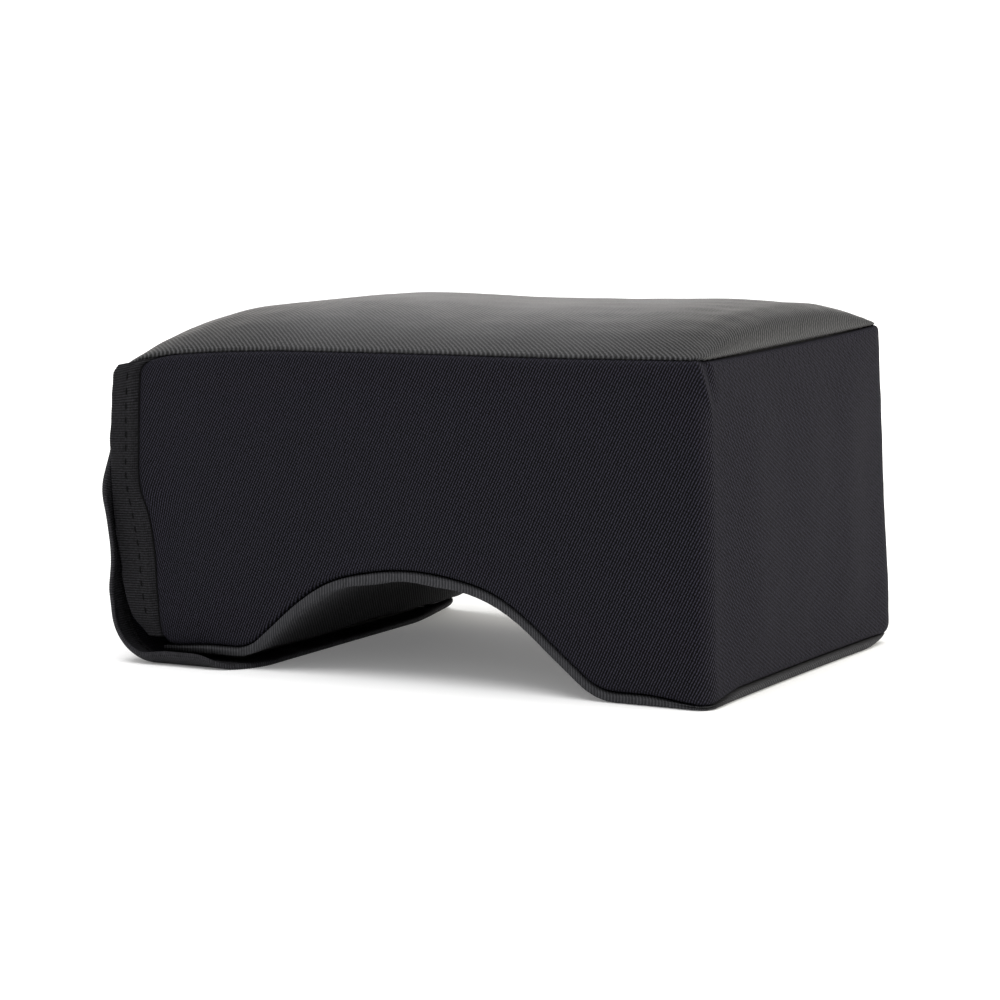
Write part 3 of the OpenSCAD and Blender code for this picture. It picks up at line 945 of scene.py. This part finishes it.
def bend_at_turn(piece):
    """Bakes the piece's placement into its mesh."""
    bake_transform(piece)


def flap_edge():
    """Points a quarter of a rib apart round the flap's edge, and the direction in from each of them."""
    s = np.linspace(1 * MM, FLAP_L - TONGUE_R, 900)
    side = np.stack([s, -flap_half_width(s)], 1)
    turn = np.linspace(0, math.pi / 2, 200)[1:]
    corner = np.stack([FLAP_L - TONGUE_R + TONGUE_R * np.sin(turn),
                       -(FLAP_Y - TONGUE_R) - TONGUE_R * np.cos(turn)], 1)
    half = np.concatenate([side, corner, [[FLAP_L, 0.0]]])
    full = np.concatenate([half, (half * [1, -1])[::-1][1:]])
    run = np.concatenate([[0], np.cumsum(np.linalg.norm(np.diff(full, axis=0), axis=1))])
    at = np.arange(0, run[-1], RIB_PITCH / 4)
    path = np.stack([np.interp(at, run, full[:, 0]), np.interp(at, run, full[:, 1])], 1)
    tangent = np.gradient(path, axis=0)
    for _ in range(20):
        tangent[1:-1] = (tangent[:-2] + 2 * tangent[1:-1] + tangent[2:]) / 4
    tangent /= np.linalg.norm(tangent, axis=1, keepdims=True)
    return at, path, np.stack([-tangent[:, 1], tangent[:, 0]], 1)


def make_flap_tape():
    """One length of tape folded over the flap's front edge, round the tongue and up the back edge."""
    at, path, inside = flap_edge()
    a, n = tape_ring(TAPE_FOLDED, MID, 0.75 * MM)
    flat = path[:, None] + inside[:, None] * a[None, :, None]
    rib = 0.12 * MM * ribs(at)[:, None]
    # the stitches pull the tape down on both faces
    pull = 0.3 * MM * hump(a, ROW_IN, 0.9 * MM)
    across = (n - np.sign(n) * pull)[None, :] + np.sign(n)[None, :] * rib
    across = np.where(n[None, :] < 0, np.maximum(across, -MID + 0.02 * MM), across)
    grid = flap_point(flat[..., 0], flat[..., 1], across)
    # paler along the fold: painted light on the lip, which catches the light from above
    piece = sweep("flap_tape", grid, at, a, 0.9 * hump(a, 0, 2.5 * MM))
    dress(piece, TAPE)
    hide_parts("flap_front_tape", "flap_back_tape", "tongue_binding")
    bend_at_turn(piece)
    row = path + inside * ROW_IN
    stitches = []
    for d in np.arange(6 * MM, at[-1] - 8 * MM, 5.2 * MM):
        first, last = row[np.searchsorted(at, d)], row[np.searchsorted(at, d + 3.2 * MM)]
        for face in (-1, 1):
            ends = [flap_point(*f, face * (MID - 0.32 * MM)) for f in (first, last)]
            out = flap_point(*first, face * MID) - flap_point(*first, 0.0)
            stitches.append(stitch(*ends, out / np.linalg.norm(out), lift=0.22 * MM, radius=0.24 * MM))
    thread = build_tubes("flap_tape_stitches", stitches)
    dress(thread, THREAD)
    bend_at_turn(thread)
    return [piece, thread]


def make_hinge_seam():
    """The row of stitches that sews the flap to the lower edge of the top panel."""
    row = []
    for y in np.arange(-Y_FACE + 6 * MM, Y_FACE - 8 * MM, SEAM_PITCH):
        ends = [flap_point(4.5 * MM, w, -0.8 * MM) for w in (y, y + 2.9 * MM)]
        row.append(stitch(*ends, np.array([-1.0, 0, 0]), lift=0.3 * MM, radius=0.26 * MM))
    thread = build_tubes("hinge_seam_stitches", row)
    dress(thread, THREAD)
    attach(thread, "end_flap")
    return thread


# -------- fastening, liner and foam


def make_fastening(name, node, body, material, up):
    """A strip of hook or loop tape: a base with rows of small hooks or loops standing on it."""
    low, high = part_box(node)
    rng = np.random.RandomState(5 if up > 0 else 6)
    base_t = 0.7 * MM
    x = spaced([low.x, low.x + 1.2 * MM, high.x - 1.2 * MM, high.x], [0.4 * MM, 1.2 * MM, 0.4 * MM])
    y = spaced([low.y, low.y + 1.2 * MM, high.y - 1.2 * MM, high.y], [0.4 * MM, 1.6 * MM, 0.4 * MM])
    xs, ys = np.meshgrid(x, y, indexing="ij")
    d = np.minimum(np.minimum(xs - low.x, high.x - xs), np.minimum(ys - low.y, high.y - ys))
    root = low.z if up > 0 else high.z
    thick = base_t * (0.55 + 0.45 * smooth(d / (1.2 * MM))) + 0.06 * MM * ripple(xs, ys, 7 * MM, 91)
    face = root + up * thick
    outer = np.stack([xs, ys, face], -1)
    inner = np.stack([xs, ys, np.full_like(xs, root)], -1)
    strip = cloth_solid(name + "_tape", outer, inner, xs, ys)
    dress(strip, material)
    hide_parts(node)
    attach(strip, body)
    tall = (high.z - low.z) - base_t - 0.08 * MM
    tubes = []
    for px in np.arange(low.x + 1.8 * MM, high.x - 1.5 * MM, 1.55 * MM):
        for py in np.arange(low.y + 1.8 * MM, high.y - 1.5 * MM, 1.75 * MM):
            cx, cy = px + rng.uniform(-0.25, 0.25) * MM, py + rng.uniform(-0.3, 0.3) * MM
            turn = rng.uniform(-0.5, 0.5) + (math.pi if rng.rand() < 0.5 else 0)
            if up < 0:
                turn = rng.uniform(0, math.tau)
            t = np.linspace(0, 1, 6)
            if up > 0:
                reach = 0.55 * MM * np.sin(t * math.pi * 0.9)
                rise = tall * np.sin(np.minimum(t * 1.25, 1.35) * math.pi / 2.3)
            else:
                reach = (t - 0.5) * 1.5 * MM
                rise = tall * np.sin(t * math.pi) * rng.uniform(0.75, 1.0)
            path = np.stack([cx + reach * math.cos(turn), cy + reach * math.sin(turn),
                             root + up * (base_t * 0.9 + rise)], 1)
            tubes.append(tube(path, 0.13 * MM, 4))
    pile = build_tubes(name + ("_points" if up > 0 else "_pile"), tubes)
    dress(pile, material)
    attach(pile, body)


def block_form(inset):
    """The stuffed block's outline moved in by inset, as an upper and a lower grid of points."""
    x = spaced([X_LEFT + inset, X_LEFT + 12 * MM, X_RIGHT - 10 * MM, X_RIGHT - inset],
               [1.5 * MM, 4 * MM, 1.5 * MM])
    y = spaced([-Y_FACE + inset, -Y_FACE + 9 * MM, Y_FACE - 9 * MM, Y_FACE - inset],
               [1.5 * MM, 6 * MM, 1.5 * MM])
    xs, ys = np.meshgrid(x, y, indexing="ij")
    rails = through(np.array(TOP_RAILS) * MM, np.linspace(0, 1, 500))
    edge = np.interp(xs - X_LEFT, rails[:, 0], rails[:, 1])
    middle = np.interp(xs - X_LEFT, rails[:, 2], rails[:, 3])
    rise = 1 - np.abs(ys / Y_FACE) ** 2.7
    top = SEAM_H + edge + (middle - edge) * rise
    top = np.minimum(top, TOP_H - inset) - 1.25 * inset + 0.3 * MM * ripple(xs, ys, 40 * MM, 93)
    d = np.minimum(np.minimum(xs - X_LEFT, X_RIGHT - xs), Y_FACE - np.abs(ys)) - inset
    rounding = 5 * MM
    sink = rounding - np.sqrt(np.maximum(rounding ** 2 - np.maximum(rounding - d, 0) ** 2, 0))
    left = smooth((X_LEFT + 11 * MM - xs) / (9 * MM)) * 10 * MM
    bottom = underside(xs) + inset * 1.3 + sink + left
    top = top - sink * 0.6
    px, py = plan(xs, ys)
    upper, lower = (settle(np.stack([px, py, z], -1)) for z in (top, bottom))
    return upper, lower, xs, ys


def make_filling():
    """The foam, and the thin liner round it."""
    layers = (("foam_core", "foam_block", 4.6 * MM, FOAM, "foam"),
              ("foam_liner_knit", "foam_liner", 3.2 * MM, LINER, "liner_knit"))
    for name, node, inset, material, slot in layers:
        upper, lower, xs, ys = block_form(inset)
        piece = cloth_solid(name, upper, lower, xs, ys)
        dress(piece, material)
        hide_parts(node)
        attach(piece, "cushion")


# -------- stage and light


def make_stage():
    """A pale floor that glows faintly, which is painted light that lifts the shade under the arch, and a
    studio whose backdrop is white to the camera and dimmer as a light.
    """
    size = 30.0
    corners = np.array([(-size, -size, 0), (size, -size, 0), (size, size, 0), (-size, size, 0)])
    floor = build("floor", corners, [(0, 1, 2, 3)])
    t = Tree("floor_white_glowing")
    # the emission makes the floor glow faintly: painted light that lifts its shade under the arch and lights
    # the block from below
    for socket, value in (("Base Color", (0.91, 0.91, 0.91, 1)), ("Roughness", 0.9),
                          ("Specular IOR Level", 0.1), ("Emission Color", (1, 1, 1, 1)),
                          ("Emission Strength", 0.135)):
        t.shader.inputs[socket].default_value = value
    floor.data.materials.append(t.material)
    world = bpy.data.worlds.new("studio")
    world.use_nodes = True
    nodes, links = world.node_tree.nodes, world.node_tree.links
    choose = nodes.new("ShaderNodeMixShader")
    links.new(nodes.new("ShaderNodeLightPath").outputs["Is Camera Ray"], choose.inputs[0])
    links.new(choose.outputs[0], nodes["World Output"].inputs[0])
    backdrops = ((nodes["Background"], 0.6), (nodes.new("ShaderNodeBackground"), 1.3))
    for k, (backdrop, strength) in enumerate(backdrops):
        backdrop.inputs["Color"].default_value = (1, 1, 1, 1)
        backdrop.inputs["Strength"].default_value = strength
        links.new(backdrop.outputs[0], choose.inputs[k + 1])
    bpy.context.scene.world = world
    bpy.context.scene.view_settings.view_transform = "Standard"


def place_light(data, power, along):
    """Puts a light in the scene, shining along the given direction."""
    data.energy = power
    light = bpy.data.objects.new(data.name, data)
    light.rotation_mode = "QUATERNION"
    light.rotation_quaternion = Vector(along).to_track_quat("-Z", "Y")
    bpy.context.scene.collection.objects.link(light)
    return light


def make_sun(name, direction, power, angle):
    """A wide soft light from far away in the given direction; angle is its spread in degrees."""
    data = bpy.data.lights.new(name, "SUN")
    data.angle = math.radians(angle)
    place_light(data, power, -Vector(direction))


def make_area(name, at, aim, power, width, height, color):
    """A softbox at one point, aimed at another."""
    data = bpy.data.lights.new(name, "AREA")
    data.shape = "RECTANGLE"
    data.size, data.size_y = width, height
    data.color = color
    place_light(data, power, Vector(aim) - Vector(at)).location = at


make_camera()
make_stage()
make_sun("overhead", (0.0, -0.10, 1.0), 2.6, 60)
make_area("right_softbox", (1.5, 0.45, 0.5), (0.1, 0, 0.07), 15.5, 1.0, 1.0, (1.0, 0.96, 0.82))
make_area("back_softbox", (-1.25, 2.1, 0.62), (0, 0, 0.14), 10, 2.2, 0.7, (1.0, 0.95, 0.90))

make_filling()
make_top()
make_band()
make_underside()
make_mouth_tape(-1, "front")
make_mouth_tape(1, "back")
make_mouth_seam_shade_line(-1, "front")
make_mouth_seam_shade_line(1, "back")
make_sill_tape()
make_flap()
make_fastening("hook", "hook_strip", "flap_tongue", HOOK, 1)
make_fastening("loop", "loop_strip", "cushion", LOOP, -1)
